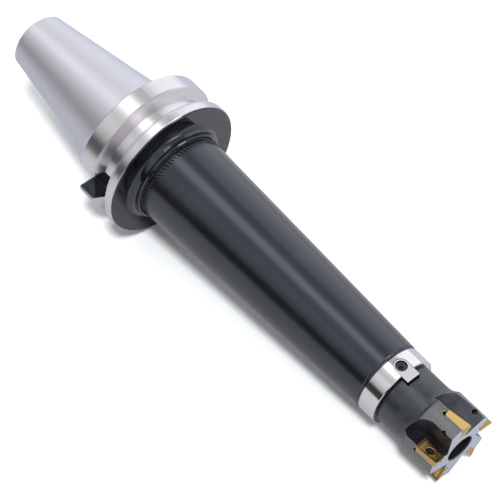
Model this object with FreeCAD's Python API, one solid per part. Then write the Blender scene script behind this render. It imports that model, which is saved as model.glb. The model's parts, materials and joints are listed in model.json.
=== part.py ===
# Indexable shell-type face mill on a long 7/24 taper arbor, ready to go into a spindle.
# Units are millimetres. The X axis is the tool's axis: the taper points to -X, the teeth to +X.
# The origin is the centre of the gauge circle of the taper, and +Z is up with the tool lying flat.
# The cutter is a left-hand one: seen from in front of its teeth it turns clockwise.
import FreeCAD, Part
import os
from math import cos, sin, tan, radians, sqrt

V = FreeCAD.Vector
AXIS_X = V(1, 0, 0)
AXIS_Y = V(0, 1, 0)
ORIGIN = V(0, 0, 0)

# ---- spindle taper, size 50, and its pull stud thread
GAUGE_DIAMETER = 69.85
TAPER_RATIO = 7 / 24
TAPER_LENGTH = 101.8
TAPER_END_CHAMFER = 1.5
STUD_PILOT_DIAMETER = 25.0
STUD_PILOT_DEPTH = 11.5
STUD_THREAD_MINOR = 20.752        # M24 x 3
STUD_THREAD_END = 58.0            # depth of the thread from the taper's small end
DRILL_POINT_ANGLE = 118

# ---- flange with its gripper groove and two drive keyways
FLANGE_DIAMETER = 100.0
FLANGE_FRONT = 3.0
FLANGE_BACK = 38.0
FLANGE_CHAMFER = 1.0
GROOVE_CENTRE = 23.2
GROOVE_OPENING = 15.0
GROOVE_DEPTH = 7.5
GROOVE_FLANK_ANGLE = 30
KEYWAY_WIDTH = 25.7
KEYWAY_ABOVE_TAPER = 0.0375       # floor of the keyway above the taper's surface at the flange
KEYWAY_PAST_GROOVE = 7.8          # end wall of the keyway behind the middle of the groove
KEYWAY_CORNER = 3.0
KEYWAY_EDGE_CHAMFER = 1.0
KEYWAY_COUNT = 2
RIM_LINE_BACK = 6.1               # fine turned line round the rear rim, before the flange's back
RIM_LINE_WIDTH = 0.4
RIM_LINE_DEPTH = 0.2

# ---- neck and long body
NECK_DIAMETER = 66.6
NECK_LENGTH = 6.6
NECK_FILLET = 4.5
NECK_CHAMFER = 0.8
UNDERCUT_DEPTH = 0.7
UNDERCUT_WIDTH = 3.0
BODY_START_DIAMETER = 62.8
BODY_END_DIAMETER = 48.7
BODY_CHAMFER = 0.6
NOSE_GROOVE_DEPTH = 0.95
NOSE_GROOVE_WIDTH = 1.1

# ---- nose ring and pilot that carry the cutter
GAUGE_LENGTH = 250.0
RING_DIAMETER = 48.0
RING_WIDTH = 12.7
RING_GAP = 1.9                    # from the end of the body to the ring, groove and bevel in it
RING_CHAMFER = 0.4
PILOT_DIAMETER = 22.0
PILOT_LENGTH = 18.0
PILOT_CHAMFER = 1.5
PILOT_RELIEF_DEPTH = 0.4
PILOT_RELIEF_WIDTH = 1.6
COOLANT_DIAMETER = 8.0

# ---- drive keys on the nose, each held by one socket screw
KEY_COUNT = 2
KEY_ANGLE = 90                    # of the first key, from +Y towards +Z
KEY_WIDTH = 10.0
KEY_PROTRUSION = 5.3
KEY_SCREW_BACK = 5.2              # screw axis behind the nose face
KEY_TOP_DROP = 0.5                # flat top of the key inside the ring's surface
KEY_HEIGHT = 8.1
KEY_TOP_CHAMFER = 0.3
KEY_SLOT_CLEARANCE = 0.04
KEY_SCREW_DIAMETER = 4.0
KEY_SCREW_HEAD_DIAMETER = 6.8
KEY_SCREW_HEAD_HEIGHT = 4.0
KEY_SCREW_HEAD_SINK = 1.1
KEY_SCREW_SOCKET = 3.0
KEY_SCREW_SOCKET_DEPTH = 2.0
KEY_SCREW_HEAD_CLEARANCE = 0.4    # radial, of the head in its counterbore
KEY_SCREW_LENGTH = 10.0
KEY_SCREW_HOLE_CLEARANCE = 0.2    # radial, of the screw in its key

# ---- cutter body
CUTTER_DIAMETER = 50.0
CUTTER_HEIGHT = 50.0
HUB_DIAMETER = 42.0
HUB_CHAMFER = 1.4
FLARE_START = 18.0                # behind here the hub is a plain cylinder
FLARE_RADIUS = 11.4
HEAD_SETBACK = 1.2                # pads of the body inside the circle of the insert tips
FACE_SETBACK = 1.5                # body face behind the insert tips
CUTTER_BORE_CLEARANCE = 0.03
PILOT_END_CLEARANCE = 3.5
CUTTER_SLOT_CLEARANCE = 0.2       # beside each flank of a drive key
CUTTER_SLOT_END_CLEARANCE = 1.0
CUTTER_WEB = 7.0
WEB_HOLE_CLEARANCE = 0.5          # radial, round the retaining screw's shank
COUNTERBORE_CLEARANCE = 1.15      # radial, round the retaining screw's head
BORE_EDGE_CHAMFER = 0.6

# ---- retaining screw, M10
CLAMP_SCREW_DIAMETER = 10.0
CLAMP_SCREW_LENGTH = 30.0
CLAMP_HEAD_DIAMETER = 16.0
CLAMP_HEAD_HEIGHT = 10.0
CLAMP_SOCKET = 8.0
CLAMP_SOCKET_DEPTH = 5.2
CLAMP_THREAD_SPARE = 10.5         # tapped depth left below the end of the screw

# ---- inserts: a drafted parallelogram whose long edge drops towards its far end
TOOTH_COUNT = 5
TOOTH_ANGLE = 11.8                # tip of the first tooth, from +Y towards +Z
INSERT_LENGTH = 16.5
INSERT_WIDTH = 9.4
INSERT_HIGH = 5.2
INSERT_LOW = 3.5
INSERT_DRAFT = 11
INSERT_SKEW = 5
INSERT_NOSE_RADIUS = 0.8
INSERT_RIM = 1.0
INSERT_RIM_DEPTH = 0.35
INSERT_BOSS_WALL = 0.6
INSERT_HOLE_CLEARANCE = 0.3       # radial, round the screw's shank
INSERT_SINK_WALL = 0.7
SINK_HALF_ANGLE = 30
AXIAL_TILT = 2.0
RADIAL_TILT = 8.0

# ---- pockets and gullets in the cutter body
POCKET_CLEARANCE = 0.03
POCKET_RELIEF_DIAMETER = 2.8
POCKET_EDGE_RELIEF_DIAMETER = 1.6
INSERT_PROUD = 1.3                # rake corner above the gullet wall round the pocket
GULLET_DEPTH = 13.6               # of the floor plane inside the circle of the insert tips
GULLET_TURN = 22                  # turn of the floor plane, from the tooth's radius
GULLET_RADIUS = 15.0
GULLET_RUNOUT = 14.5              # axial place of the runout's centre, behind the tips

# ---- insert screws, M4
INSERT_SCREW_DIAMETER = 4.0
INSERT_SCREW_SINK = 0.35
INSERT_SCREW_LENGTH = 10.0
INSERT_HOLE_SPARE = 2.2           # tapped depth left below the end of the screw
LOBE_COUNT = 6
LOBE_CIRCLE = 2.3
LOBE_DIAMETER = 0.9
LOBE_CORE_DIAMETER = 2.5
LOBE_DEPTH = 1.5

# ---- fits
THREAD_CLEARANCE = 0.05           # radial, between every screw and its tapped hole
HEAD_CLEARANCE = 0.06             # radial, between a sunk head and its cone
OVERSHOOT = 2.0                   # how far a cutting shape runs past the face it opens
NEAR = 0.01                       # how close an edge lies to the plane it is picked by
SPOT = 0.05                       # how close an edge's middle lies to the point it is picked by



def taper_radius(x):
    return (GAUGE_DIAMETER + x * TAPER_RATIO) / 2


# ---- places and sizes that follow from the ones above
TAPER_END = -TAPER_LENGTH
GROOVE_BOTTOM_DIAMETER = FLANGE_DIAMETER - 2 * GROOVE_DEPTH
KEYWAY_FLOOR = taper_radius(FLANGE_FRONT) + KEYWAY_ABOVE_TAPER
KEYWAY_END = GROOVE_CENTRE + KEYWAY_PAST_GROOVE
NECK_END = FLANGE_BACK + NECK_LENGTH
UNDERCUT_DIAMETER = BODY_START_DIAMETER - 2 * UNDERCUT_DEPTH
UNDERCUT_END = NECK_END + UNDERCUT_WIDTH
RING_START = GAUGE_LENGTH - RING_WIDTH
BODY_END = RING_START - RING_GAP
NOSE_GROOVE_DIAMETER = BODY_END_DIAMETER - 2 * NOSE_GROOVE_DEPTH
PILOT_END = GAUGE_LENGTH + PILOT_LENGTH
PILOT_RELIEF_DIAMETER = PILOT_DIAMETER - 2 * PILOT_RELIEF_DEPTH
KEY_TOP = RING_DIAMETER / 2 - KEY_TOP_DROP
KEY_FLOOR = KEY_TOP - KEY_HEIGHT
KEY_COUNTERBORE_DIAMETER = KEY_SCREW_HEAD_DIAMETER + 2 * KEY_SCREW_HEAD_CLEARANCE
HEAD_DIAMETER = CUTTER_DIAMETER - 2 * HEAD_SETBACK
CUTTER_BACK = GAUGE_LENGTH
TIP_PLANE = CUTTER_BACK + CUTTER_HEIGHT
CUTTER_FACE = TIP_PLANE - FACE_SETBACK
WEB_BACK = PILOT_END + PILOT_END_CLEARANCE
CLAMP_SEAT = WEB_BACK + CUTTER_WEB
CLAMP_THREAD_END = CLAMP_SEAT - CLAMP_SCREW_LENGTH - CLAMP_THREAD_SPARE
WEB_HOLE_DIAMETER = CLAMP_SCREW_DIAMETER + 2 * WEB_HOLE_CLEARANCE
COUNTERBORE_DIAMETER = CLAMP_HEAD_DIAMETER + 2 * COUNTERBORE_CLEARANCE
INSERT_HOLE_DIAMETER = INSERT_SCREW_DIAMETER + 2 * INSERT_HOLE_CLEARANCE
INSERT_SINK_DIAMETER = INSERT_HOLE_DIAMETER + 2 * INSERT_SINK_WALL
INSERT_BOSS_DIAMETER = INSERT_SINK_DIAMETER + 2 * INSERT_BOSS_WALL
INSERT_MIDDLE_HEIGHT = (INSERT_HIGH + INSERT_LOW) / 2
INSERT_SCREW_TOP = INSERT_MIDDLE_HEIGHT - INSERT_SCREW_SINK
GULLET_FLOOR = CUTTER_DIAMETER / 2 - GULLET_DEPTH
FAR = 2 * FLANGE_DIAMETER


def line(a, b):
    return Part.LineSegment(a, b).toShape()


def turned(points):
    """A solid turned about X from a closed outline of (x, radius) corners."""
    corners = [V(x, 0, r) for x, r in points]
    edges = [line(a, b) for a, b in zip(corners, corners[1:] + corners[:1])]
    return Part.Face(Part.Wire(edges)).revolve(ORIGIN, AXIS_X, 360)


def rod(x0, x1, diameter):
    return Part.makeCylinder(diameter / 2, x1 - x0, V(x0, 0, 0), AXIS_X)


def around_axis(shape, angle):
    copy = shape.copy()
    copy.rotate(ORIGIN, AXIS_X, angle)
    return copy


def save(shape, node):
    solids = shape.Solids
    result = solids[0] if len(solids) == 1 else shape
    result.exportStep(f"parts/{node}.step")
    print(node, "solids", len(solids), "valid", result.isValid(), "volume", round(result.Volume, 1))


def hexagon_prism(across_flats, x0, x1):
    corner = across_flats / sqrt(3)
    ring = [V(x0, corner * cos(radians(60 * k)), corner * sin(radians(60 * k))) for k in range(7)]
    return Part.Face(Part.makePolygon(ring)).extrude(V(x1 - x0, 0, 0))


# ------------------------------------------------------------------ arbor
def groove_half_bottom():
    depth = (FLANGE_DIAMETER - GROOVE_BOTTOM_DIAMETER) / 2
    return GROOVE_OPENING / 2 - depth * tan(radians(GROOVE_FLANK_ANGLE))


def arbor_outline():
    flange = FLANGE_DIAMETER / 2
    bottom = GROOVE_BOTTOM_DIAMETER / 2
    half_top = GROOVE_OPENING / 2
    edge = FLANGE_CHAMFER / 2
    rim_line = FLANGE_BACK - RIM_LINE_BACK
    ring = RING_DIAMETER / 2
    pilot = PILOT_DIAMETER / 2
    groove_start = RING_START - NOSE_GROOVE_WIDTH
    return [
        (TAPER_END, 0),
        (TAPER_END, taper_radius(TAPER_END) - TAPER_END_CHAMFER),
        (TAPER_END + TAPER_END_CHAMFER, taper_radius(TAPER_END + TAPER_END_CHAMFER)),
        (FLANGE_FRONT, taper_radius(FLANGE_FRONT)),
        (FLANGE_FRONT, flange - FLANGE_CHAMFER),
        (FLANGE_FRONT + FLANGE_CHAMFER, flange),
        (GROOVE_CENTRE - half_top - edge, flange),
        (GROOVE_CENTRE - half_top + edge * tan(radians(GROOVE_FLANK_ANGLE)), flange - edge),
        (GROOVE_CENTRE - groove_half_bottom(), bottom),
        (GROOVE_CENTRE + groove_half_bottom(), bottom),
        (GROOVE_CENTRE + half_top - edge * tan(radians(GROOVE_FLANK_ANGLE)), flange - edge),
        (GROOVE_CENTRE + half_top + edge, flange),
        (rim_line - RIM_LINE_WIDTH / 2, flange),
        (rim_line, flange - RIM_LINE_DEPTH),
        (rim_line + RIM_LINE_WIDTH / 2, flange),
        (FLANGE_BACK - FLANGE_CHAMFER, flange),
        (FLANGE_BACK, flange - FLANGE_CHAMFER),
        (FLANGE_BACK, NECK_DIAMETER / 2),
        (NECK_END - NECK_CHAMFER, NECK_DIAMETER / 2),
        (NECK_END, NECK_DIAMETER / 2 - NECK_CHAMFER),
        (NECK_END, UNDERCUT_DIAMETER / 2),
        (UNDERCUT_END, UNDERCUT_DIAMETER / 2),
        (UNDERCUT_END, BODY_START_DIAMETER / 2),
        (BODY_END, BODY_END_DIAMETER / 2),
        (BODY_END + BODY_CHAMFER, BODY_END_DIAMETER / 2 - BODY_CHAMFER),
        (groove_start, NOSE_GROOVE_DIAMETER / 2),
        (RING_START, NOSE_GROOVE_DIAMETER / 2),
        (RING_START, ring - RING_CHAMFER),
        (RING_START + RING_CHAMFER, ring),
        (GAUGE_LENGTH - RING_CHAMFER, ring),
        (GAUGE_LENGTH, ring - RING_CHAMFER),
        (GAUGE_LENGTH, PILOT_RELIEF_DIAMETER / 2),
        (GAUGE_LENGTH + PILOT_RELIEF_WIDTH, PILOT_RELIEF_DIAMETER / 2),
        (GAUGE_LENGTH + PILOT_RELIEF_WIDTH, pilot),
        (PILOT_END - PILOT_CHAMFER, pilot),
        (PILOT_END, pilot - PILOT_CHAMFER),
        (PILOT_END, 0),
    ]


def fillet_neck(solid):
    corner = NECK_DIAMETER / 2
    picked = []
    for edge in solid.Edges:
        box = edge.BoundBox
        flat = box.XLength < NEAR and abs(box.XMin - FLANGE_BACK) < NEAR
        if flat and abs(box.ZMax - corner) < SPOT:
            picked.append(edge)
    return solid.makeFillet(NECK_FILLET, picked)


def drive_keyway():
    """The keyway on the +Y side: open to the taper side, its end wall in the groove's rear flank."""
    side = FLANGE_DIAMETER / 2
    start = FLANGE_FRONT - OVERSHOOT
    length = KEYWAY_END - start
    block = Part.makeBox(length, side, KEYWAY_WIDTH, V(start, KEYWAY_FLOOR, -KEYWAY_WIDTH / 2))
    rounded = []
    for edge in block.Edges:
        box = edge.BoundBox
        if box.YLength > side / 2 and abs(box.XMin - KEYWAY_END) < NEAR:
            rounded.append(edge)
    block = block.makeFillet(KEYWAY_CORNER, rounded)
    mouth = sqrt((FLANGE_DIAMETER / 2) ** 2 - (KEYWAY_WIDTH / 2) ** 2)
    half = KEYWAY_WIDTH / 2
    reach = OVERSHOOT + KEYWAY_EDGE_CHAMFER
    corners = [
        V(start, mouth - KEYWAY_EDGE_CHAMFER, -half),
        V(start, mouth + OVERSHOOT, -half - reach),
        V(start, mouth + OVERSHOOT, half + reach),
        V(start, mouth - KEYWAY_EDGE_CHAMFER, half),
    ]
    edges = [line(a, b) for a, b in zip(corners, corners[1:] + corners[:1])]
    mouth_width = GROOVE_CENTRE + OVERSHOOT - start
    return block.fuse(Part.Face(Part.Wire(edges)).extrude(V(mouth_width, 0, 0)))


def arbor_bores():
    thread_end = TAPER_END + STUD_THREAD_END
    point = STUD_THREAD_MINOR / 2 / tan(radians(DRILL_POINT_ANGLE / 2))
    tapped = CLAMP_SCREW_DIAMETER + 2 * THREAD_CLEARANCE
    bores = rod(TAPER_END - OVERSHOOT, TAPER_END + STUD_PILOT_DEPTH, STUD_PILOT_DIAMETER)
    bores = bores.fuse(rod(TAPER_END, thread_end, STUD_THREAD_MINOR))
    bores = bores.fuse(Part.makeCone(STUD_THREAD_MINOR / 2, 0, point, V(thread_end, 0, 0), AXIS_X))
    bores = bores.fuse(rod(TAPER_END, PILOT_END, COOLANT_DIAMETER))
    return bores.fuse(rod(CLAMP_THREAD_END, PILOT_END + OVERSHOOT, tapped))


def key_screw_axis():
    return GAUGE_LENGTH - KEY_SCREW_BACK


def key_slot():
    """The slot for the +Z key: rounded at its inner end, open through the nose face."""
    width = KEY_WIDTH + 2 * KEY_SLOT_CLEARANCE
    height = RING_DIAMETER
    x = key_screw_axis()
    end = GAUGE_LENGTH + OVERSHOOT
    slot = Part.makeBox(end - x, width, height, V(x, -width / 2, KEY_FLOOR))
    slot = slot.fuse(Part.makeCylinder(width / 2, height, V(x, 0, KEY_FLOOR)))
    hole = KEY_SCREW_DIAMETER / 2 + THREAD_CLEARANCE
    depth = key_screw_seat() - KEY_SCREW_LENGTH - THREAD_CLEARANCE
    return slot.fuse(Part.makeCylinder(hole, height, V(x, 0, depth)))


def key_screw_seat():
    return KEY_TOP - KEY_SCREW_HEAD_SINK - KEY_SCREW_HEAD_HEIGHT


def make_arbor():
    arbor = fillet_neck(turned(arbor_outline()))
    for k in range(KEYWAY_COUNT):
        arbor = arbor.cut(around_axis(drive_keyway(), 360 * k / KEYWAY_COUNT))
    for k in range(KEY_COUNT):
        arbor = arbor.cut(around_axis(key_slot(), KEY_ANGLE - 90 + 360 * k / KEY_COUNT))
    return arbor.cut(arbor_bores())


# ------------------------------------------------------------------ drive keys
def make_drive_key():
    x = key_screw_axis()
    height = KEY_TOP - KEY_FLOOR
    length = GAUGE_LENGTH + KEY_PROTRUSION - x
    key = Part.makeBox(length, KEY_WIDTH, height, V(x, -KEY_WIDTH / 2, KEY_FLOOR))
    key = key.fuse(Part.makeCylinder(KEY_WIDTH / 2, height, V(x, 0, KEY_FLOOR))).removeSplitter()
    top = [edge for edge in key.Edges if edge.BoundBox.ZMin > KEY_TOP - NEAR]
    key = key.makeChamfer(KEY_TOP_CHAMFER, top)
    shank = KEY_SCREW_DIAMETER / 2 + KEY_SCREW_HOLE_CLEARANCE
    key = key.cut(Part.makeCylinder(shank, 2 * height, V(x, 0, KEY_FLOOR - height / 2)))
    sink = Part.makeCylinder(KEY_COUNTERBORE_DIAMETER / 2, height, V(x, 0, key_screw_seat()))
    return key.cut(sink)


def make_key_screw():
    x = key_screw_axis()
    seat = key_screw_seat()
    head = Part.makeCylinder(KEY_SCREW_HEAD_DIAMETER / 2, KEY_SCREW_HEAD_HEIGHT, V(x, 0, seat))
    rim = [edge for edge in head.Edges if edge.BoundBox.ZMin > seat + KEY_SCREW_HEAD_HEIGHT - NEAR]
    head = head.makeChamfer(KEY_TOP_CHAMFER, rim)
    bottom = seat - KEY_SCREW_LENGTH
    screw = head.fuse(Part.makeCylinder(KEY_SCREW_DIAMETER / 2, KEY_SCREW_LENGTH, V(x, 0, bottom)))
    socket = hexagon_prism(KEY_SCREW_SOCKET, 0, KEY_SCREW_SOCKET_DEPTH + OVERSHOOT)
    socket.rotate(ORIGIN, AXIS_Y, -90)
    socket.translate(V(x, 0, seat + KEY_SCREW_HEAD_HEIGHT - KEY_SCREW_SOCKET_DEPTH))
    return screw.cut(socket)


# ------------------------------------------------------------------ insert and its seat
# An insert's own frame: x runs forward along it, y inward from its outer edge, z up from its seat.
def insert_corner(front, inner, height, inset=0.0):
    """A corner of the drafted parallelogram at a height, set in from the flanks by inset."""
    d = (INSERT_HIGH - height) * tan(radians(INSERT_DRAFT)) + inset
    y = INSERT_WIDTH - d if inner else d
    skew = y * tan(radians(INSERT_SKEW))
    along = d / cos(radians(INSERT_SKEW))
    x = INSERT_LENGTH - skew - along if front else along - skew
    return V(x, y, height)


def rake_height(front, inner):
    """The rake face is high at the nose and at the opposite corner, and low at the other two."""
    return INSERT_HIGH if front != inner else INSERT_LOW


def drafted_block(low, high, inset=0.0):
    """A block between two heights given per corner, with the insert's outline."""
    wires = []
    for front in (False, True):
        corners = [
            insert_corner(front, False, low(front, False), inset),
            insert_corner(front, True, low(front, True), inset),
            insert_corner(front, True, high(front, True), inset),
            insert_corner(front, False, high(front, False), inset),
        ]
        wires.append(Part.makePolygon(corners + corners[:1]))
    return Part.makeLoft(wires, True, True)


def insert_middle():
    skew = INSERT_WIDTH * tan(radians(INSERT_SKEW))
    return V((INSERT_LENGTH - skew) / 2, INSERT_WIDTH / 2, 0)


def nose_edges(block):
    """The two upright edges at the high corners, which take the nose radius."""
    picked = []
    for front, inner in ((True, False), (False, True)):
        top = insert_corner(front, inner, rake_height(front, inner))
        foot = insert_corner(front, inner, 0)
        middle = (top + foot) * 0.5
        for edge in block.Edges:
            if (edge.CenterOfMass - middle).Length < SPOT:
                picked.append(edge)
    return picked


def countersink(top):
    """The cone that takes the screw's head, its wide end at a height above the seat."""
    length = (INSERT_SINK_DIAMETER - INSERT_HOLE_DIAMETER) / 2 / tan(radians(SINK_HALF_ANGLE))
    base = insert_middle() + V(0, 0, top - length)
    return Part.makeCone(INSERT_HOLE_DIAMETER / 2, INSERT_SINK_DIAMETER / 2, length, base)


def make_insert():
    block = drafted_block(lambda f, i: 0.0, rake_height)
    block = block.makeFillet(INSERT_NOSE_RADIUS, nose_edges(block))
    floor = drafted_block(
        lambda f, i: rake_height(f, i) - INSERT_RIM_DEPTH,
        lambda f, i: INSERT_HIGH + OVERSHOOT,
        INSERT_RIM,
    )
    boss = Part.makeCylinder(INSERT_BOSS_DIAMETER / 2, 2 * INSERT_HIGH, insert_middle())
    block = block.cut(floor.cut(boss))
    below = insert_middle() - V(0, 0, OVERSHOOT)
    hole = Part.makeCylinder(INSERT_HOLE_DIAMETER / 2, INSERT_HIGH + 2 * OVERSHOOT, below)
    rim = insert_middle() + V(0, 0, INSERT_MIDDLE_HEIGHT)
    above = Part.makeCylinder(INSERT_SINK_DIAMETER / 2, INSERT_HIGH, rim)
    return block.cut(hole).cut(countersink(INSERT_MIDDLE_HEIGHT)).cut(above)


def make_insert_screw():
    middle = insert_middle()
    top = INSERT_SCREW_TOP
    slope = tan(radians(SINK_HALF_ANGLE))
    head_radius = INSERT_SINK_DIAMETER / 2 - HEAD_CLEARANCE - INSERT_SCREW_SINK * slope
    shank = INSERT_SCREW_DIAMETER / 2
    cone_length = (head_radius - shank) / slope
    screw = Part.makeCone(shank, head_radius, cone_length, middle + V(0, 0, top - cone_length))
    bottom = middle + V(0, 0, top - INSERT_SCREW_LENGTH)
    screw = screw.fuse(Part.makeCylinder(shank, INSERT_SCREW_LENGTH - cone_length, bottom))
    floor = middle + V(0, 0, top - LOBE_DEPTH)
    star = Part.makeCylinder(LOBE_CORE_DIAMETER / 2, 2 * LOBE_DEPTH, floor)
    for k in range(LOBE_COUNT):
        turn = radians(360 * k / LOBE_COUNT)
        lobe = V(cos(turn), sin(turn), 0) * (LOBE_CIRCLE / 2)
        star = star.fuse(Part.makeCylinder(LOBE_DIAMETER / 2, 2 * LOBE_DEPTH, floor + lobe))
    return screw.cut(star)


def seat_frame():
    """Turns the insert's own frame to the tooth whose tip lies on +Y, facing -Z."""
    turn = FreeCAD.Rotation(AXIS_X, RADIAL_TILT)
    turn = turn.multiply(FreeCAD.Rotation(AXIS_Y, AXIAL_TILT))
    turn = turn.multiply(FreeCAD.Rotation(AXIS_X, 180))
    nose = V(INSERT_LENGTH, 0, INSERT_HIGH)
    tip = V(TIP_PLANE, CUTTER_DIAMETER / 2, 0)
    return FreeCAD.Placement(tip - turn.multVec(nose), turn)


def on_tooth(shape, tooth):
    copy = shape.copy()
    copy.Placement = seat_frame().multiply(copy.Placement)
    return around_axis(copy, TOOTH_ANGLE + 360 * tooth / TOOTH_COUNT)


# ------------------------------------------------------------------ cutter body
def cutter_outline():
    hub = HUB_DIAMETER / 2
    head = HEAD_DIAMETER / 2
    bore = PILOT_DIAMETER / 2 + CUTTER_BORE_CLEARANCE
    flare = CUTTER_BACK + FLARE_START
    rise = head - hub
    run = sqrt(FLARE_RADIUS ** 2 - (FLARE_RADIUS - rise) ** 2)
    return {
        "inner": [
            (CUTTER_FACE, COUNTERBORE_DIAMETER / 2 + BORE_EDGE_CHAMFER),
            (CUTTER_FACE - BORE_EDGE_CHAMFER, COUNTERBORE_DIAMETER / 2),
            (CLAMP_SEAT, COUNTERBORE_DIAMETER / 2),
            (CLAMP_SEAT, WEB_HOLE_DIAMETER / 2),
            (WEB_BACK, WEB_HOLE_DIAMETER / 2),
            (WEB_BACK, bore),
            (CUTTER_BACK + BORE_EDGE_CHAMFER, bore),
            (CUTTER_BACK, bore + BORE_EDGE_CHAMFER),
            (CUTTER_BACK, hub - HUB_CHAMFER),
            (CUTTER_BACK + HUB_CHAMFER, hub),
            (flare, hub),
        ],
        "flare_middle": flare_point(run / 2, flare, hub),
        "flare_end": (flare + run, head),
        "face_corner": (CUTTER_FACE, head),
    }


def flare_point(run, start, hub):
    return (start + run, hub + FLARE_RADIUS - sqrt(FLARE_RADIUS ** 2 - run ** 2))


def cutter_blank():
    outline = cutter_outline()
    points = [V(x, 0, r) for x, r in outline["inner"]]
    middle, end, corner = [V(outline[name][0], 0, outline[name][1]) for name in (
        "flare_middle", "flare_end", "face_corner")]
    edges = [line(a, b) for a, b in zip(points, points[1:])]
    edges.append(Part.Arc(points[-1], middle, end).toShape())
    edges.append(line(end, corner))
    edges.append(line(corner, points[0]))
    return Part.Face(Part.Wire(edges)).revolve(ORIGIN, AXIS_X, 360)


def gullet():
    """The chip space ahead of a tooth, in the insert's own frame turned back to the tooth frame."""
    lean = radians(GULLET_TURN)
    normal = V(0, cos(lean), sin(lean))
    along = V(0, sin(lean), -cos(lean))
    centre_x = TIP_PLANE - GULLET_RUNOUT
    centre = V(centre_x, 0, 0) + normal * (GULLET_FLOOR + GULLET_RADIUS)
    start = centre - along * FLANGE_DIAMETER
    runout = Part.makeCylinder(GULLET_RADIUS, FAR, start, along)
    floor = V(centre_x, 0, 0) + normal * GULLET_FLOOR - along * FLANGE_DIAMETER
    reach = GULLET_RADIUS + GULLET_RUNOUT
    corners = [floor, floor + AXIS_X * reach]
    corners.append(corners[1] + normal * CUTTER_DIAMETER)
    corners.append(corners[0] + normal * CUTTER_DIAMETER)
    channel = Part.Face(Part.makePolygon(corners + corners[:1])).extrude(along * FAR)
    above = V(centre_x - GULLET_RADIUS, -FAR / 2, GULLET_RADIUS + GULLET_FLOOR)
    behind = Part.makeBox(2 * GULLET_RADIUS, FAR, CUTTER_DIAMETER, above)
    behind.rotate(ORIGIN, AXIS_X, GULLET_TURN - 90)
    space = runout.fuse(channel).fuse(behind)
    wall = Part.makeBox(FAR, FAR, FAR, V(-FAR / 2, -FAR / 2, INSERT_HIGH - INSERT_PROUD))
    wall.Placement = seat_frame().multiply(wall.Placement)
    return space.common(wall)


def pocket():
    """The space of one insert with its walls, its reliefs and its tapped hole, in its own frame."""
    deep = INSERT_HIGH + INSERT_PROUD + OVERSHOOT
    slope = tan(radians(INSERT_DRAFT))

    def corner(front, inner, height):
        spot = insert_corner(front, inner, height)
        x = INSERT_LENGTH + deep if front else spot.x - POCKET_CLEARANCE
        y = spot.y + POCKET_CLEARANCE if inner else -deep
        return V(x, y, height)

    wires = []
    for height in (0, deep):
        ring = [corner(False, False, height), corner(True, False, height),
                corner(True, True, height), corner(False, True, height)]
        wires.append(Part.makePolygon(ring + ring[:1]))
    space = Part.makeLoft(wires, True, True)
    back = insert_corner(False, True, 0)
    relief = POCKET_RELIEF_DIAMETER / 2
    across = Part.makeCylinder(relief, INSERT_WIDTH + deep, V(back.x, back.y, relief * slope), -AXIS_Y)
    edge = POCKET_EDGE_RELIEF_DIAMETER / 2
    along = Part.makeCylinder(edge, INSERT_LENGTH + deep, V(back.x, back.y, edge * slope), AXIS_X)
    tapped = INSERT_SCREW_DIAMETER / 2 + THREAD_CLEARANCE
    depth = INSERT_SCREW_LENGTH - INSERT_SCREW_TOP + INSERT_HOLE_SPARE
    hole = Part.makeCylinder(tapped, depth + OVERSHOOT, insert_middle() - V(0, 0, depth))
    return space.fuse(across).fuse(along).fuse(hole)


def drive_slot():
    width = KEY_WIDTH + 2 * CUTTER_SLOT_CLEARANCE
    start = CUTTER_BACK - OVERSHOOT
    depth = KEY_PROTRUSION + CUTTER_SLOT_END_CLEARANCE + OVERSHOOT
    return Part.makeBox(depth, width, FAR, V(start, -width / 2, -FAR / 2))


def make_cutter_body():
    body = cutter_blank()
    body = body.cut(around_axis(drive_slot(), KEY_ANGLE - 90))
    for tooth in range(TOOTH_COUNT):
        body = body.cut(around_axis(gullet(), TOOTH_ANGLE + 360 * tooth / TOOTH_COUNT))
        body = body.cut(on_tooth(pocket(), tooth))
    return body


# ------------------------------------------------------------------ retaining screw
def make_retaining_screw():
    head = rod(CLAMP_SEAT, CLAMP_SEAT + CLAMP_HEAD_HEIGHT, CLAMP_HEAD_DIAMETER)
    front = CLAMP_SEAT + CLAMP_HEAD_HEIGHT
    rim = [edge for edge in head.Edges if edge.BoundBox.XMin > front - NEAR]
    head = head.makeChamfer(BORE_EDGE_CHAMFER, rim)
    screw = head.fuse(rod(CLAMP_SEAT - CLAMP_SCREW_LENGTH, CLAMP_SEAT, CLAMP_SCREW_DIAMETER))
    return screw.cut(hexagon_prism(CLAMP_SOCKET, front - CLAMP_SOCKET_DEPTH, front + OVERSHOOT))


def main():
    os.makedirs("parts", exist_ok=True)
    save(make_arbor(), "arbor")
    key = make_drive_key()
    key_screw = make_key_screw()
    for k in range(KEY_COUNT):
        turn = KEY_ANGLE - 90 + 360 * k / KEY_COUNT
        save(around_axis(key, turn), f"drive_key_{k + 1}")
        save(around_axis(key_screw, turn), f"drive_key_screw_{k + 1}")
    save(make_cutter_body(), "cutter_body")
    insert = make_insert()
    insert_screw = make_insert_screw()
    for tooth in range(TOOTH_COUNT):
        save(on_tooth(insert, tooth), f"insert_{tooth + 1}")
        save(on_tooth(insert_screw, tooth), f"insert_screw_{tooth + 1}")
    save(make_retaining_screw(), "retaining_screw")


main()
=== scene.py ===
# %% [markdown]
# # A face mill on its long arbor
# A face mill cuts with small carbide inserts screwed to a steel body. This one is clamped to a long
# arbor whose steep taper sits in a machine's spindle. The CAD model brings every piece in its
# place, so this notebook makes the looks: the camera, the light, the finish of each metal, and the
# screw threads, which CAD leaves plain.
#
# The first step loads the CAD pieces. They stay where they are, and everything is in metres.

# %% Load the pieces
import json
import math
import bmesh
import bpy
from mathutils import Matrix, Vector

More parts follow.
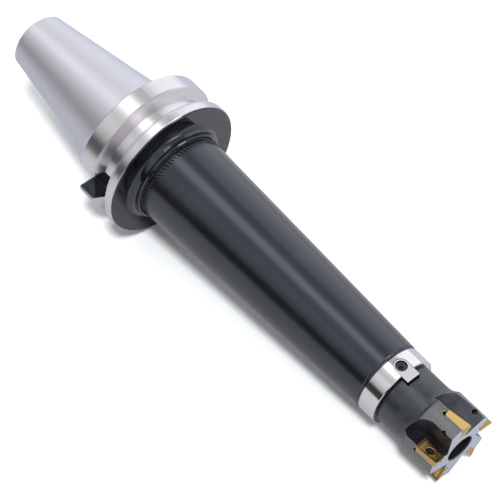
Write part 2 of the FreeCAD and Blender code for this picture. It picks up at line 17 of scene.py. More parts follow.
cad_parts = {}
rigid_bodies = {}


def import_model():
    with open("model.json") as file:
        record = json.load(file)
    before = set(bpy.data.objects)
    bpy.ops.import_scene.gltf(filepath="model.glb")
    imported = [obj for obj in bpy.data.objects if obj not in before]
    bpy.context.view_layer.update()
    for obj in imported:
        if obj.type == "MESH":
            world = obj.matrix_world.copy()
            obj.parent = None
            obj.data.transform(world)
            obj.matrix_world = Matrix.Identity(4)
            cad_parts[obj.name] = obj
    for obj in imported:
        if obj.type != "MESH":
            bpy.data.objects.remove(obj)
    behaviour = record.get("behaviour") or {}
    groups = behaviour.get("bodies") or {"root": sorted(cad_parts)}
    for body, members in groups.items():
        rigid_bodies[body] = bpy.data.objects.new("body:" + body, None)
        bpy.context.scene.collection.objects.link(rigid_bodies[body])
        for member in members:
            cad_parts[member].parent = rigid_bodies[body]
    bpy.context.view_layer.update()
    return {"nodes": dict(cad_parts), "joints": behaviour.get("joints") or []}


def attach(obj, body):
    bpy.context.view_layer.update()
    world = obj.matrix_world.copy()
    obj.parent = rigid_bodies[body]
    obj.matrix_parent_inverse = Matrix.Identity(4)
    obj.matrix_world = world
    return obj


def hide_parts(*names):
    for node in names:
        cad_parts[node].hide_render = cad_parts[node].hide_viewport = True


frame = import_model()
MM = 0.001

# %% [markdown]
# ## The camera
# A product picture is taken from far off with a long lens, so that the tool hardly tapers with
# distance. The camera looks down on the tool from beside its cutting end. Its aim and its upright
# are two directions; the third follows from them, and the three make the camera's matrix. Rolling
# the camera a few degrees lays the long tool corner to corner.

# %% Camera
CAMERA_PLACE = Vector((0.60317, -0.50918, 0.98057))
CAMERA_AIM = Vector((-0.40422, 0.41994, -0.81256)).normalized()
CAMERA_UP = Vector((-0.63672, 0.50860, 0.57959))
LENS = 140.4


def make_camera():
    right = CAMERA_AIM.cross(CAMERA_UP).normalized()
    upright = right.cross(CAMERA_AIM)
    turn = Matrix((right, upright, -CAMERA_AIM)).transposed().to_4x4()
    camera = bpy.data.objects.new("camera", bpy.data.cameras.new("camera"))
    camera.data.lens = LENS
    camera.matrix_world = Matrix.Translation(CAMERA_PLACE) @ turn
    bpy.context.collection.objects.link(camera)
    bpy.context.scene.camera = camera
    return camera


camera = make_camera()
print("camera lens:", camera.data.lens, "mm")

# %% [markdown]
# ## Shader maths as plain sums
# A procedural finish is arithmetic on a place: how far along the tool it is, and how far from the
# axis. Wiring Math nodes by hand hides that arithmetic, so a small class wraps a socket and gives
# it Python's operators. Every other node comes from one method, which sets the node's choices first
# and then fills or links its sockets.

# %% Signals and finishes
class Signal:
    """A value on its way through the nodes of one finish."""

    def __init__(self, finish, socket):
        self.finish = finish
        self.socket = socket

    def maths(self, operation, *others):
        values = dict(enumerate((self, *others)))
        return self.finish.node("Math", {"operation": operation}, values)

    def __add__(self, other):
        return self.maths("ADD", other)

    def __sub__(self, other):
        return self.maths("SUBTRACT", other)

    def __rsub__(self, other):
        return self * -1 + other

    def __mul__(self, other):
        return self.maths("MULTIPLY", other)

    def __truediv__(self, other):
        return self.maths("DIVIDE", other)

    def __abs__(self):
        return self.maths("ABSOLUTE")

    __radd__ = __add__
    __rmul__ = __mul__

    def rise(self, low, high):
        """0 before low and 1 after high, with a smooth step between. It falls if low is above high."""
        values = {"Value": self, "From Min": low, "From Max": high}
        return self.finish.node("MapRange", {"interpolation_type": "SMOOTHSTEP"}, values)

    def band(self, low, high, soft):
        """1 from low to high, and 0 outside, over a soft edge."""
        return self.rise(low - soft, low) * self.rise(high + soft, high)


class Finish:
    """A material in the making, with the place on the tool as its first signals."""

    def __init__(self, name, tree=None):
        if tree is None:
            self.material = bpy.data.materials.new(name)
            self.material.use_nodes = True
            tree = self.material.node_tree
            self.surface = tree.nodes["Principled BSDF"]
        self.tree = tree

    def fill(self, socket, value):
        if isinstance(value, Signal):
            self.tree.links.new(value.socket, socket)
        elif hasattr(value, "__len__") and len(value) == 3 and socket.type == "RGBA":
            socket.default_value = (*value, 1.0)
        else:
            socket.default_value = value

    def node(self, kind, settings, values, output=0):
        made = self.tree.nodes.new("ShaderNode" + kind)
        stops = settings.get("stops", ())
        for name, setting in settings.items():
            if name != "stops":
                setattr(made, name, setting)
        for index, (place, colour) in enumerate(stops):
            ramp = made.color_ramp.elements
            stop = ramp[index] if index < 2 else ramp.new(place)
            stop.position = place
            stop.color = (*colour, 1.0)
        for name, value in values.items():
            self.fill(made.inputs[name], value)
        return Signal(self, made.outputs[output])

    def wear(self, **sockets):
        """Fill the surface's sockets, given by name with _ for a space."""
        for name, value in sockets.items():
            self.fill(self.surface.inputs[name.replace("_", " ")], value)
        return self

    def place(self):
        """The x, y and z of the point that is shaded, in metres, in the tool's frame."""
        spot = self.node("TexCoord", {}, {}, "Object")
        return [self.node("SeparateXYZ", {}, {0: spot}, axis) for axis in "XYZ"]

    def vector(self, x, y, z):
        return self.node("CombineXYZ", {}, {0: x, 1: y, 2: z})

    def noise(self, vector, detail=2.0, roughness=0.5):
        values = {"Vector": vector, "Scale": 1.0, "Detail": detail, "Roughness": roughness}
        return self.node("TexNoise", {}, values)

    def mix(self, share, first, second):
        """The first colour where share is 0, the second where it is 1."""
        return self.node("Mix", {"data_type": "RGBA"}, {0: share, 6: first, 7: second}, 2)

    def blend(self, share, first, second):
        return share * (second - first) + first

    def wear_and_highlight_edge(self, reach):
        """1 on the edges of the shape and 0 on its faces: there a rounded normal leaves the plain one.
        The finishes mix every edge, convex and concave, toward an edge colour with it, which is partly
        wear and partly painted highlight.
        """
        rounded = self.node("Bevel", {"samples": 8}, {"Radius": reach})
        plain = self.node("NewGeometry", {}, {}, "Normal")
        along = self.node("VectorMath", {"operation": "DOT_PRODUCT"}, {0: rounded, 1: plain}, "Value")
        return along.rise(0.985, 0.90)

    def relief(self, height, depth):
        """A normal bent by a height that runs from 0 to 1, as if it were depth metres deep."""
        return self.node("Bump", {}, {"Distance": depth, "Height": height}, "Normal")


print("signals add, subtract, multiply and divide")

# %% [markdown]
# ## Floor and studio
# Shiny turned parts show their surroundings more than their own colour. A long panel overhead draws
# the bright streak along the tool, a big panel beside it lights the far flank, a small one in front
# catches the fillets and chamfers that face the cutting end, and a narrow black card draws the one
# dark band that makes a ring look like polished steel. The card and the walls of the studio are a
# ramp of greys round the tool's axis, in the world.
#
# The tool really lies on the edge of its flange and on its lowest teeth, so the floor slopes up to
# the teeth and bends level past them. It is pale, and a shade darker where the steel reflects it. A
# plain backdrop closes the view behind it.

# %% Floor
FLOOR_SIZE = 12.0
FLOOR_COLOUR = (0.76, 0.775, 0.785)
FLOOR_IN_STEEL = (0.44, 0.44, 0.45)
FLANGE_FOOT = Vector((38, 0, -50)) * MM
TOOTH_FOOT = Vector((299, 0, -25)) * MM
BEND_START = 305 * MM
BEND_LENGTH = 60 * MM
BEND_STEPS = 12
# Only the camera sees the backdrop. These are the other rays, by Blender's names for them.
HIDDEN_FROM = ("diffuse", "glossy", "transmission", "volume_scatter", "shadow")
BACKDROP_RADIUS = 5.0
BACKDROP_COLOUR = (0.86, 0.87, 0.88)


def floor_height(x):
    """The height of the paper at a place along the tool: it slopes up to the teeth, then bends level."""
    rise = TOOTH_FOOT - FLANGE_FOOT
    bent = min(max(x - BEND_START, 0.0), BEND_LENGTH)
    run = min(x, BEND_START) - FLANGE_FOOT.x + bent - bent**2 / (2 * BEND_LENGTH)
    return FLANGE_FOOT.z + rise.z / rise.x * run


def make_floor():
    """Paper under the tool as it really lies: on the flange's edge and the lowest teeth."""
    half = FLOOR_SIZE / 2
    bend = [BEND_START + BEND_LENGTH * step / BEND_STEPS for step in range(BEND_STEPS + 1)]
    shape = bmesh.new()
    rows = [
        [shape.verts.new((x, y, floor_height(x))) for y in (-half, half)] for x in [-half, *bend, half]
    ]
    for (a, b), (d, c) in zip(rows, rows[1:]):
        shape.faces.new((a, d, c, b)).smooth = True
    mesh = bpy.data.meshes.new("floor")
    shape.to_mesh(mesh)
    shape.free()
    floor = bpy.data.objects.new("floor", mesh)
    bpy.context.collection.objects.link(floor)
    paper = Finish("floor_paper")
    reflected = paper.node("LightPath", {}, {}, "Is Glossy Ray")
    paper.wear(Base_Color=paper.mix(reflected, FLOOR_COLOUR, FLOOR_IN_STEEL))
    paper.wear(Roughness=1.0, Specular_IOR_Level=0.0)
    mesh.materials.append(paper.material)


def make_backdrop():
    """A plain pale wall all round that only the camera sees, so it lights and reflects nothing."""
    shape = bmesh.new()
    bmesh.ops.create_uvsphere(shape, u_segments=48, v_segments=24, radius=BACKDROP_RADIUS)
    mesh = bpy.data.meshes.new("backdrop")
    shape.to_mesh(mesh)
    shape.free()
    backdrop = bpy.data.objects.new("backdrop", mesh)
    bpy.context.collection.objects.link(backdrop)
    plain = Finish("backdrop_plain")
    plain.wear(Base_Color=(0.0, 0.0, 0.0), Specular_IOR_Level=0.0)
    plain.wear(Emission_Color=BACKDROP_COLOUR, Emission_Strength=1.0)
    mesh.materials.append(plain.material)
    for rays in HIDDEN_FROM:
        setattr(backdrop, "visible_" + rays, False)


make_floor()
make_backdrop()
print("floor slopes up by", round((TOOTH_FOOT - FLANGE_FOOT).z / MM, 1), "mm from flange to teeth")

# %% Studio walls
# The ramp runs round the tool's axis: 0 is the -Z side, 0.25 the -Y side, 0.5 is up, 0.75 the +Y side.
WALL_STOPS = [
    (0.00, 0.62),
    (0.18, 0.66),
    (0.228, 0.62),
    (0.236, 0.05),
    (0.300, 0.04),
    (0.320, 0.52),
    (0.365, 0.80),
    (0.395, 0.86),
    (0.425, 0.62),
    (0.455, 0.85),
    (0.490, 0.85),
    (0.530, 0.55),
    (0.590, 0.55),
    (0.670, 0.70),
    (0.780, 0.75),
    (1.00, 0.62),
]
WALL_TINT = Vector((0.985, 0.99, 1.0))


def make_walls():
    world = bpy.data.worlds.new("studio")
    world.use_nodes = True
    bpy.context.scene.world = world
    walls = Finish("studio", world.node_tree)
    spot = walls.node("TexCoord", {}, {}, "Generated")
    y = walls.node("SeparateXYZ", {}, {0: spot}, "Y")
    z = walls.node("SeparateXYZ", {}, {0: spot}, "Z")
    turn = (y * -1).maths("ARCTAN2", z * -1) / math.tau
    share = turn.maths("FRACT")
    stops = [(place, WALL_TINT * grey) for place, grey in WALL_STOPS]
    colour = walls.node("ValToRGB", {"stops": stops}, {"Fac": share})
    background = world.node_tree.nodes["Background"]
    walls.fill(background.inputs["Color"], colour)


make_walls()
bpy.context.scene.view_settings.view_transform = "Standard"
print("studio walls with", len(WALL_STOPS), "greys")

# %% Light panels
PANEL_AIM = Vector((0.12, 0.0, 0.0))
TOOL_AXIS = Vector((1.0, 0.0, 0.0))


def make_panel(name, direction, distance, width, length, brightness, tint):
    """A soft panel that faces the tool, lying along it. Brightness 1 is a plain white wall's."""
    data = bpy.data.lights.new(name, "AREA")
    data.shape = "RECTANGLE"
    data.size = length
    data.size_y = width
    data.energy = brightness * math.pi * width * length
    data.color = tint
    panel = bpy.data.objects.new(name, data)
    back = Vector(direction).normalized()
    along = (TOOL_AXIS - back * back.dot(TOOL_AXIS)).normalized()
    across = back.cross(along)
    turn = Matrix((along, across, back)).transposed().to_4x4()
    panel.matrix_world = Matrix.Translation(PANEL_AIM + back * distance) @ turn
    bpy.context.collection.objects.link(panel)


make_panel("overhead_panel", (-0.404, -0.05, 0.906), 1.3, 0.42, 2.6, 1.15, (1.0, 0.99, 0.97))
make_panel("side_panel", (-0.404, 0.82, 0.40), 1.6, 1.5, 2.6, 0.55, (0.93, 0.97, 1.0))
make_panel("front_panel", (0.79, 0.40, 0.42), 1.4, 0.35, 0.6, 3.0, (0.97, 0.99, 1.0))


def make_key_sun(strength, spread, direction):
    """A high soft sun that lights the floor white and drops the tool's shadow under it. Only the
    panels show in the steel, so the sun is left out of reflections."""
    data = bpy.data.lights.new("key_sun", "SUN")
    data.energy = strength
    data.angle = math.radians(spread)
    sun = bpy.data.objects.new("key_sun", data)
    sun.matrix_world = Vector(direction).to_track_quat("Z", "Y").to_matrix().to_4x4()
    sun.visible_glossy = False
    bpy.context.collection.objects.link(sun)


make_key_sun(3.1, 11.0, (0.30, -0.28, 1.0))
print("three panels and a sun")

# %% [markdown]
# ## Steel that is ground, and steel that is blackened
# The arbor is one piece with two finishes. It is turned, blackened in hot salts, and then ground
# where it has to fit: the taper, the flange and the nose ring come out bright, while the neck, the
# long body and the keyways stay black. One material does both, and a mask from the place along the
# axis picks between them. Grinding runs round the axis, so its fine lines are noise that changes
# quickly along X and slowly round the circle. Reading the circle as two numbers, y / r and z / r,
# leaves no seam.

# %% Places along the arbor
BLACK_START = 37.3 * MM
BLACK_END = 237.25 * MM
KEYWAY_HALF = 12.87 * MM
KEYWAY_FLOOR = 35.3 * MM
KEYWAY_END = 31.05 * MM
FLANGE_START = 2.9 * MM
# Dark teeth round the start of the body, in colour, roughness and bump; what makes them on the real tool
# isn't known.
DARK_TEETH_START = 47.5 * MM
DARK_TEETH_END = 51.5 * MM
DARK_TEETH_COUNT = 78
DARK_TEETH_LEAN = 1100.0
DARK_TEETH_COLOUR = (0.012, 0.012, 0.014)
EDGE = 0.05 * MM
BORE_RADIUS = 12.6 * MM
COOL = (0.80, 0.86, 1.0)

GROUND_TAPER = (0.67, 0.66, 0.715)
GROUND_FLANGE = (0.76, 0.735, 0.76)
GROUND_SHADE = (0.33, 0.32, 0.32)
BLACKENED = (0.0035, 0.004, 0.006)
BLACKENED_CLOUD = (0.012, 0.013, 0.017)
# Bare steel on the edges: partly wear, partly painted highlight.
BARE_EDGE_AND_HIGHLIGHT = (0.62, 0.63, 0.66)


def circle_lines(finish, x, y, z, fineness, wander):
    """Grinding lines round the axis: fineness changes per metre along it, wander round it."""
    radius = (y * y + z * z).maths("SQRT") + 0.0001
    vector = finish.vector(x * fineness, y / radius * wander, z / radius * wander)
    return finish.noise(vector, 3.0, 0.6)


# %% Arbor finish
def arbor_finish():
    steel = Finish("ground_and_blackened_steel")
    x, y, z = steel.place()
    radius = (y * y + z * z).maths("SQRT")
    turn = z.maths("ARCTAN2", y)
    keyway = abs(z).rise(KEYWAY_HALF + EDGE, KEYWAY_HALF)
    keyway = keyway * abs(y).rise(KEYWAY_FLOOR - EDGE, KEYWAY_FLOOR)
    keyway = keyway * x.band(FLANGE_START, KEYWAY_END, EDGE)
    bore = radius.rise(BORE_RADIUS + EDGE, BORE_RADIUS) * x.rise(-0.05, -0.09)
    black = x.band(BLACK_START, BLACK_END, EDGE).maths("MAXIMUM", keyway)
    flange = x.band(FLANGE_START, BLACK_START, EDGE)
    ring = x.rise(BLACK_END - EDGE, BLACK_END)
    lines = circle_lines(steel, x, y, z, 5000.0, 0.4)
    wide_lines = circle_lines(steel, x, y, z, 1100.0, 0.8)
    cloud = steel.noise(steel.vector(x * 22, y * 60, z * 60), 4.0, 0.6)
    bright = steel.mix(flange.maths("MAXIMUM", ring), GROUND_TAPER, GROUND_FLANGE)
    shade = steel.blend(flange, lines * 0.05, wide_lines * 0.16 + lines * 0.06)
    bright = steel.mix(shade + bore * 0.5, bright, GROUND_SHADE)
    # Dark teeth round the body's start: only their look is drawn, as their cause on the real tool isn't
    # known.
    reach = (x - DARK_TEETH_START) / (DARK_TEETH_END - DARK_TEETH_START)
    wave = (turn * DARK_TEETH_COUNT + x * DARK_TEETH_LEAN).maths("SINE")
    uneven = steel.noise(steel.vector(0.0, y / radius * 14, z / radius * 14), 2.0, 0.6)
    dark_teeth = (wave - reach * 2 - uneven * 2.4).rise(-2.3, -1.2) * 0.8
    dark_teeth = dark_teeth * x.rise(DARK_TEETH_START - EDGE, DARK_TEETH_START)
    soot = steel.mix(cloud.rise(0.45, 0.75) * 0.35, BLACKENED, BLACKENED_CLOUD)
    soot = steel.mix(dark_teeth, soot, DARK_TEETH_COLOUR)
    # Painted highlight and wear: every edge, concave ones too, is mixed partly toward bare steel, more in
    # the keyways.
    wear_and_highlight = steel.wear_and_highlight_edge(0.18 * MM) * (0.35 + keyway * 0.25)
    finish = steel.mix(black, bright, soot)
    steel.wear(Base_Color=steel.mix(wear_and_highlight, finish, BARE_EDGE_AND_HIGHLIGHT))
    bare = (1 - black).maths("MAXIMUM", dark_teeth * 0.95)
    steel.wear(Metallic=bare.maths("MAXIMUM", wear_and_highlight * black * 0.5))
    ground = steel.blend(flange, 0.44 + cloud * 0.08, 0.18 + wide_lines * 0.14)
    ground = steel.blend(ring, ground, 0.09 + wide_lines * 0.08)
    neck = x.rise(DARK_TEETH_START, DARK_TEETH_START - 3 * MM)
    blackened = 0.18 + cloud * 0.08 + dark_teeth * 0.3 - neck * 0.15
    steel.wear(Roughness=steel.blend(black, ground, blackened))
    steel.wear(IOR=1.76, Specular_Tint=COOL)
    height = lines * 0.3 + wide_lines * flange * 0.8 - dark_teeth * 8
    steel.wear(Normal=steel.relief(height, 0.004 * MM))
    return steel


def dress(node, finish):
    """Give a CAD piece its finish, in every slot of its object."""
    for slot in frame["nodes"][node].material_slots:
        slot.material = finish.material


dress("arbor", arbor_finish())
print("arbor: ground and blackened")

# %% [markdown]
# ## Drive keys and their screws
# The keys are blackened all over and then ground flat on top, so their tops are bright and their
# The socket screws are blackened too, and the rims of their heads are paler metal: partly polish from
# handling, partly painted highlight.

# %% Keys and socket screws
KEY_TOP = 23.35 * MM
RIM_RADIUS = 3.05 * MM
RIM_DEPTH = 2.0 * MM
KEY_SIDE = (0.006, 0.006, 0.008)
KEY_TOP_COLOUR = (0.80, 0.78, 0.80)
SCREW_SOOT = (0.004, 0.0045, 0.005)
SCREW_CLOUD = (0.02, 0.02, 0.021)
# Paler metal for the screw heads' rims: partly polish, partly painted highlight.
SCREW_RIM = (0.30, 0.33, 0.35)
joints = {joint["name"]: joint for joint in frame["joints"]}


def key_finish():
    steel = Finish("ground_key_steel")
    x, y, z = steel.place()
    top = abs(z).rise(KEY_TOP - EDGE, KEY_TOP)
    lines = steel.noise(steel.vector(x * 400, y * 9000, z * 400), 3.0, 0.6)
    steel.wear(Base_Color=steel.mix(top, KEY_SIDE, KEY_TOP_COLOUR))
    steel.wear(Metallic=top, Roughness=steel.blend(top, 0.35 + lines * 0.05, 0.36 + lines * 0.14))
    steel.wear(Normal=steel.relief(lines, 0.004 * MM))
    return steel


def black_screw_finish():
    steel = Finish("black_screw_steel")
    x, y, z = steel.place()
    key_screw_x = joints["key_screw_turn_1"]["pos_m"][0]
    from_axis = ((x - key_screw_x) * (x - key_screw_x) + y * y).maths("SQRT")
    # Painted highlight and polish: a band of paler metal round the head's rim.
    rim = from_axis.band(RIM_RADIUS, RIM_RADIUS + 0.3 * MM, 0.1 * MM)
    rim = rim * abs(z).rise(KEY_TOP - RIM_DEPTH, KEY_TOP - 0.8 * RIM_DEPTH)
    cloud = steel.noise(steel.vector(x * 900, y * 900, z * 900), 3.0, 0.6)
    soot = steel.mix(cloud.rise(0.4, 0.8), SCREW_SOOT, SCREW_CLOUD)
    steel.wear(Base_Color=steel.mix(rim, soot, SCREW_RIM))
    steel.wear(Metallic=rim * 0.9, IOR=1.55, Roughness=0.28 + cloud * 0.15)
    steel.wear(Normal=steel.relief(cloud, 0.01 * MM))
    return steel


key_steel = key_finish()
screw_steel = black_screw_finish()
for count in (1, 2):
    dress(f"drive_key_{count}", key_steel)
    dress(f"drive_key_screw_{count}", screw_steel)
dress("retaining_screw", screw_steel)
print("keys and socket screws")

# %% [markdown]
# ## The cutter body
# The body is blackened like the arbor, but it lives among chips, so its black is scuffed to a warm
# grey with fine scratches. Only its front face is ground bright. The counterbore stays dark.

# %% Cutter finish
CUTTER_FACE = 298.45 * MM
FLARE_START = 268.0 * MM
FLARE_EDGE = 275.65 * MM
HUB_RADIUS = 21.0 * MM
PAD_RADIUS = 23.8 * MM
COUNTERBORE = 9.8 * MM
CUTTER_BLACK = (0.006, 0.007, 0.009)
CUTTER_SCUFF = (0.018, 0.018, 0.019)
PAD_BRUSHED = (0.085, 0.082, 0.075)
SPECK_GREY = (0.26, 0.25, 0.235)
GULLET_DARK = (0.050, 0.054, 0.064)
GULLET_PALE = (0.085, 0.088, 0.098)
# Paler steel on the edges: partly wear, partly painted highlight.
CUTTER_EDGE = (0.42, 0.43, 0.45)
FACE_BRIGHT = (0.70, 0.71, 0.75)
FACE_LINE = (0.50, 0.50, 0.54)


def cutter_finish():
    steel = Finish("scuffed_black_steel")
    x, y, z = steel.place()
    radius = (y * y + z * z).maths("SQRT")
    face = x.rise(CUTTER_FACE - EDGE, CUTTER_FACE)
    face = face * radius.rise(COUNTERBORE - 2 * EDGE, COUNTERBORE - EDGE)
    cloud = steel.noise(steel.vector(x * 90, y * 110, z * 110), 5.0, 0.65)
    grit = steel.noise(steel.vector(x * 1500, y * 1500, z * 1500), 2.0, 0.6)
    scratch = steel.noise(steel.vector(x * 2600 + y * 800, y * 140, z * 140), 2.0, 0.5)
    scratch = scratch.rise(0.70, 0.78) * cloud.rise(0.4, 0.6)
    flare = (x - FLARE_START) / (FLARE_EDGE - FLARE_START)
    flare = flare.maths("MAXIMUM", 0.0).maths("MINIMUM", 1.0)
    outside = flare * flare * (PAD_RADIUS - HUB_RADIUS) + HUB_RADIUS
    gullet = (outside - radius).rise(0.25 * MM, 0.45 * MM)
    gullet = gullet * x.rise(FLARE_START, FLARE_START + 2 * MM)
    pad = x.rise(FLARE_EDGE - EDGE, FLARE_EDGE) * (1 - gullet)
    wear_and_highlight = steel.wear_and_highlight_edge(0.26 * MM) * cloud.rise(0.22, 0.45)
    brush = circle_lines(steel, x, y, z, 1500.0, 5.0)
    soot = steel.mix(cloud.rise(0.38, 0.72), CUTTER_BLACK, CUTTER_SCUFF)
    soot = steel.mix(pad * (0.35 + brush * 0.9), soot, PAD_BRUSHED)
    speck = grit.rise(0.62, 0.70) * (0.25 + pad * 0.5)
    soot = steel.mix(speck.maths("MAXIMUM", scratch * pad * 0.6), soot, SPECK_GREY)
    hollow = steel.mix(cloud.rise(0.40, 0.70), GULLET_DARK, GULLET_PALE)
    soot = steel.mix(gullet, soot, hollow)
    # Painted highlight and wear: patches of the edges are mixed toward paler steel, so from here soot
    # also holds painted highlight.
    soot = steel.mix(wear_and_highlight * 0.8, soot, CUTTER_EDGE)
    lines = steel.noise(steel.vector(x * 300, y * 2600 + z * 900, z * 200), 3.0, 0.6)
    bright = steel.mix(lines * 0.3, FACE_BRIGHT, FACE_LINE)
    steel.wear(Base_Color=steel.mix(face, soot, bright))
    steel.wear(Metallic=steel.blend(face, (gullet * 0.9).maths("MAXIMUM", wear_and_highlight * 0.8), 1.0))
    steel.wear(IOR=1.80, Specular_Tint=COOL)
    steel.wear(Roughness=steel.blend(face, 0.27 + cloud * 0.08 + brush * 0.12, 0.36 + lines * 0.1))
    steel.wear(Normal=steel.relief(grit * 0.7 + lines * face * 0.5, 0.012 * MM))
    return steel


dress("cutter_body", cutter_finish())
print("cutter body: scuffed black, ground face")

# %% [markdown]
# ## Inserts with a gold coating
# Titanium nitride gives carbide its gold. The flanks are smooth and bright, while the rake face is
# pressed to shape, and a band of painted shade runs along its groove just inside the rim. Each insert
# lies its own way, so its finish reads the place in the insert's own frame: along it, across it and
# up from its middle. That frame comes from two joints: the way the insert lifts, and the middle that
# its screw turns about.

# %% Insert finish
GOLD_FLANK = (0.57, 0.38, 0.14)
# Bright gold on the edges, a painted highlight.
GOLD_EDGE = (0.95, 0.76, 0.42)
GOLD_RAKE = (0.74, 0.46, 0.18)
GOLD_WORN_RAKE = (0.92, 0.64, 0.30)
# Painted shade for the groove along the inside of the rake face's rim.
PAINTED_GROOVE_SHADE = (0.22, 0.12, 0.045)
GROOVE_LINE = 0.45 * MM
HALF_LENGTH = 7.05 * MM
HALF_WIDTH = 3.75 * MM
SKEW = math.tan(math.radians(5))
DARK_STEEL = (0.004, 0.004, 0.004)
DARK_STEEL_CLOUD = (0.016, 0.014, 0.012)
TOOTH_COUNT = 5


def seat_matrix(tooth):
    """From the tool's frame to the insert's own: x along it, y inward, z up from its seat."""
    up = Vector(joints[f"insert_lift_{tooth}"]["axis"]).normalized()
    middle = Vector(joints[f"insert_screw_turn_{tooth}"]["pos_m"])
    across = up.cross(Vector((1, 0, 0))).normalized()
    along = across.cross(up)
    turn = Matrix((along, across, up))
    return Matrix.Translation(turn @ -middle) @ turn.to_4x4()


def insert_finish(tooth):
    gold = Finish(f"gold_coating_{tooth}")
    seat = seat_matrix(tooth)
    spot = gold.node("TexCoord", {}, {}, "Object")
    values = {"Vector": spot, "Location": seat.translation, "Rotation": seat.to_euler()}
    own = gold.node("Mapping", {}, values)
    along = gold.node("SeparateXYZ", {}, {0: own}, "X")
    across = gold.node("SeparateXYZ", {}, {0: own}, "Y")
    up = gold.node("SeparateXYZ", {}, {0: own}, "Z")
    skewed = abs(along + across * SKEW)
    rake = skewed.rise(HALF_LENGTH + EDGE, HALF_LENGTH)
    rake = rake * abs(across).rise(HALF_WIDTH + EDGE, HALF_WIDTH)
    rake = rake * up.rise(-2.2 * MM, -1.6 * MM)
    wear_and_highlight = gold.wear_and_highlight_edge(0.14 * MM)
    cloud = gold.noise(gold.vector(along * 260, across * 500, up * 500), 4.0, 0.6)
    grit = gold.noise(gold.vector(along * 4000, across * 4000, up * 4000), 2.0, 0.5)
    inside = skewed.rise(HALF_LENGTH - GROOVE_LINE, HALF_LENGTH - GROOVE_LINE - EDGE)
    inside = inside * abs(across).rise(HALF_WIDTH - GROOVE_LINE, HALF_WIDTH - GROOVE_LINE - EDGE)
    tarnish_and_groove_shade = gold.mix(cloud.rise(0.35, 0.7), GOLD_RAKE, GOLD_WORN_RAKE)
    # Painted shade: the band just inside the rake face's rim is mixed toward a dark brown.
    tarnish_and_groove_shade = gold.mix(1 - inside, tarnish_and_groove_shade, PAINTED_GROOVE_SHADE)
    coat_and_groove_shade = gold.mix(rake, GOLD_FLANK, tarnish_and_groove_shade)
    # Painted highlight: the edges are mixed toward bright gold.
    gold.wear(Base_Color=gold.mix(wear_and_highlight * 0.7, coat_and_groove_shade, GOLD_EDGE), Metallic=1.0)
    gold.wear(Roughness=0.30 + cloud * 0.08 + rake * 0.08)
    gold.wear(Normal=gold.relief(grit, 0.006 * MM))
    return gold


def insert_screw_finish():
    steel = Finish("dark_screw_steel")
    x, y, z = steel.place()
    cloud = steel.noise(steel.vector(x * 1200, y * 1200, z * 1200), 3.0, 0.6)
    steel.wear(Base_Color=steel.mix(cloud.rise(0.3, 0.8), DARK_STEEL, DARK_STEEL_CLOUD))
    steel.wear(Metallic=0.0, IOR=1.45, Roughness=0.40 + cloud * 0.15)
    steel.wear(Normal=steel.relief(cloud, 0.008 * MM))
    return steel


dark_steel = insert_screw_finish()
for tooth in range(1, TOOTH_COUNT + 1):
    dress(f"insert_{tooth}", insert_finish(tooth))
    dress(f"insert_screw_{tooth}", dark_steel)
print("inserts:", TOOTH_COUNT)

# %% [markdown]
# ## Screw threads
# A thread is a V-shaped groove wound round a plain shank, and that is also the way to model one. The
# section of the groove is a small four-sided face; a spin that also climbs by one pitch a turn winds
# it into a long helical bar; and a Boolean takes the bar out of a copy of the plain screw. The crests
# stay where the CAD shank was, so the threaded screw fits the same hole. Near the shank's end the bar
# drifts outward, as a lathe tool is drawn out of its cut.

# %% The groove between two threads
GROOVE_SLOPE = math.tan(math.radians(30))
GROOVE_DEPTH = 0.541
GROOVE_ROOT = 0.125
GROOVE_PAST_CREST = 0.03
RUNOUT_TURNS = 3
HEAD_REACH = 1.1
SHARP_ANGLE = math.radians(28)
STEPS_A_TURN = 40


def wind_groove(crest, pitch, length):
    """A helical bar round +Z that climbs from one pitch under the screw's tip to length above it."""
    root = crest - GROOVE_DEPTH * pitch
    outside = crest + GROOVE_PAST_CREST * pitch
    half_root = GROOVE_ROOT * pitch
    half_top = half_root + (outside - root) * GROOVE_SLOPE
    shape = bmesh.new()
    corners = ((outside, half_top), (root, half_root), (root, -half_root), (outside, -half_top))
    verts = [shape.verts.new((reach, 0, height - pitch)) for reach, height in corners]
    section = shape.faces.new(verts)
    turns = round(length / pitch) + 1
    climb = Vector((0, 0, pitch / STEPS_A_TURN))
    steps = turns * STEPS_A_TURN
    angle = turns * math.tau
    bmesh.ops.spin(shape, geom=[section], axis=(0, 0, 1), dvec=climb, angle=angle, steps=steps)
    bmesh.ops.recalc_face_normals(shape, faces=shape.faces)
    for vert in shape.verts:
        runout = max(0.0, vert.co.z / pitch - turns + RUNOUT_TURNS)
        drift = 1 + runout * GROOVE_DEPTH * pitch / 2 / crest
        vert.co.xy *= drift
    return shape


# %% Threaded screws
def stand_on_tip(node, joint, crest):
    """The matrix that takes a screw standing on its tip along +Z to its place in the tool."""
    axis = Vector(joints[joint]["axis"]).normalized()
    middle = Vector(joints[joint]["pos_m"])
    spots = [vert.co - middle for vert in frame["nodes"][node].data.vertices]
    heights = [spot.dot(axis) for spot in spots]
    reaches = [(spot - axis * height).length for spot, height in zip(spots, heights)]
    head = [height for height, reach in zip(heights, reaches) if reach > HEAD_REACH * crest]
    if max(head) < max(heights) - crest / 10:
        axis, heights = -axis, [-height for height in heights]
    tip = middle + axis * min(heights)
    return Matrix.Translation(tip) @ axis.to_track_quat("Z", "Y").to_matrix().to_4x4()


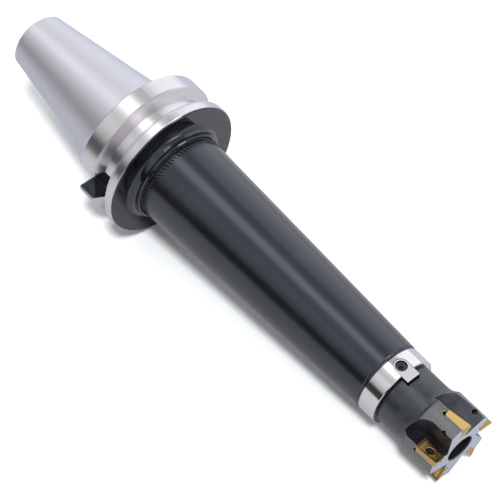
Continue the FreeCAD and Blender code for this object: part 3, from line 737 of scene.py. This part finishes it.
def linked(name, shape):
    """A new object in the scene, with its mesh from a bmesh, which is used up."""
    mesh = bpy.data.meshes.new(name)
    shape.to_mesh(mesh)
    shape.free()
    made = bpy.data.objects.new(name, mesh)
    bpy.context.collection.objects.link(made)
    return made


def plain_copy(node):
    """A CAD screw's own mesh, with the points that its triangles share made one."""
    shape = bmesh.new()
    shape.from_mesh(frame["nodes"][node].data)
    bmesh.ops.remove_doubles(shape, verts=shape.verts, dist=0.001 * MM)
    return linked(f"threaded_{node}", shape)


def cut_away(piece, tool):
    """Take the tool's shape out of the piece for good, and the tool out of the scene."""
    cut = piece.modifiers.new("thread", "BOOLEAN")
    cut.operation = "DIFFERENCE"
    cut.solver = "EXACT"
    cut.object = tool
    done = piece.evaluated_get(bpy.context.evaluated_depsgraph_get())
    left = bpy.data.meshes.new_from_object(done)
    piece.modifiers.clear()
    piece.data = left
    bpy.data.objects.remove(tool)


def thread_screw(node, body, joint, crest, pitch, length):
    """A threaded screw in place of the plain one, riding on the same body."""
    screw = plain_copy(node)
    groove = wind_groove(crest, pitch, length)
    bmesh.ops.transform(groove, matrix=stand_on_tip(node, joint, crest), verts=groove.verts)
    cut_away(screw, linked("groove", groove))
    screw.data.shade_smooth()
    screw.data.set_sharp_from_angle(angle=SHARP_ANGLE)
    screw.data.materials.clear()
    screw.data.materials.append(frame["nodes"][node].material_slots[0].material)
    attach(screw, body)
    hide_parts(node)
    return screw


M10_CREST, M10_PITCH = 5.0 * MM, 1.5 * MM
M4_CREST, M4_PITCH = 2.0 * MM, 0.7 * MM
long_screw = thread_screw("retaining_screw", "clamp_screw", "clamp_screw_turn",
                          M10_CREST, M10_PITCH, 26 * MM)
print("retaining screw faces:", len(long_screw.data.polygons))
for count in (1, 2):
    thread_screw(f"drive_key_screw_{count}", f"key_screw_{count}", f"key_screw_turn_{count}",
                 M4_CREST, M4_PITCH, 8.5 * MM)
for tooth in range(1, TOOTH_COUNT + 1):
    small = thread_screw(f"insert_screw_{tooth}", f"insert_screw_{tooth}", f"insert_screw_turn_{tooth}",
                         M4_CREST, M4_PITCH, 6.5 * MM)
print("insert screw faces:", len(small.data.polygons))
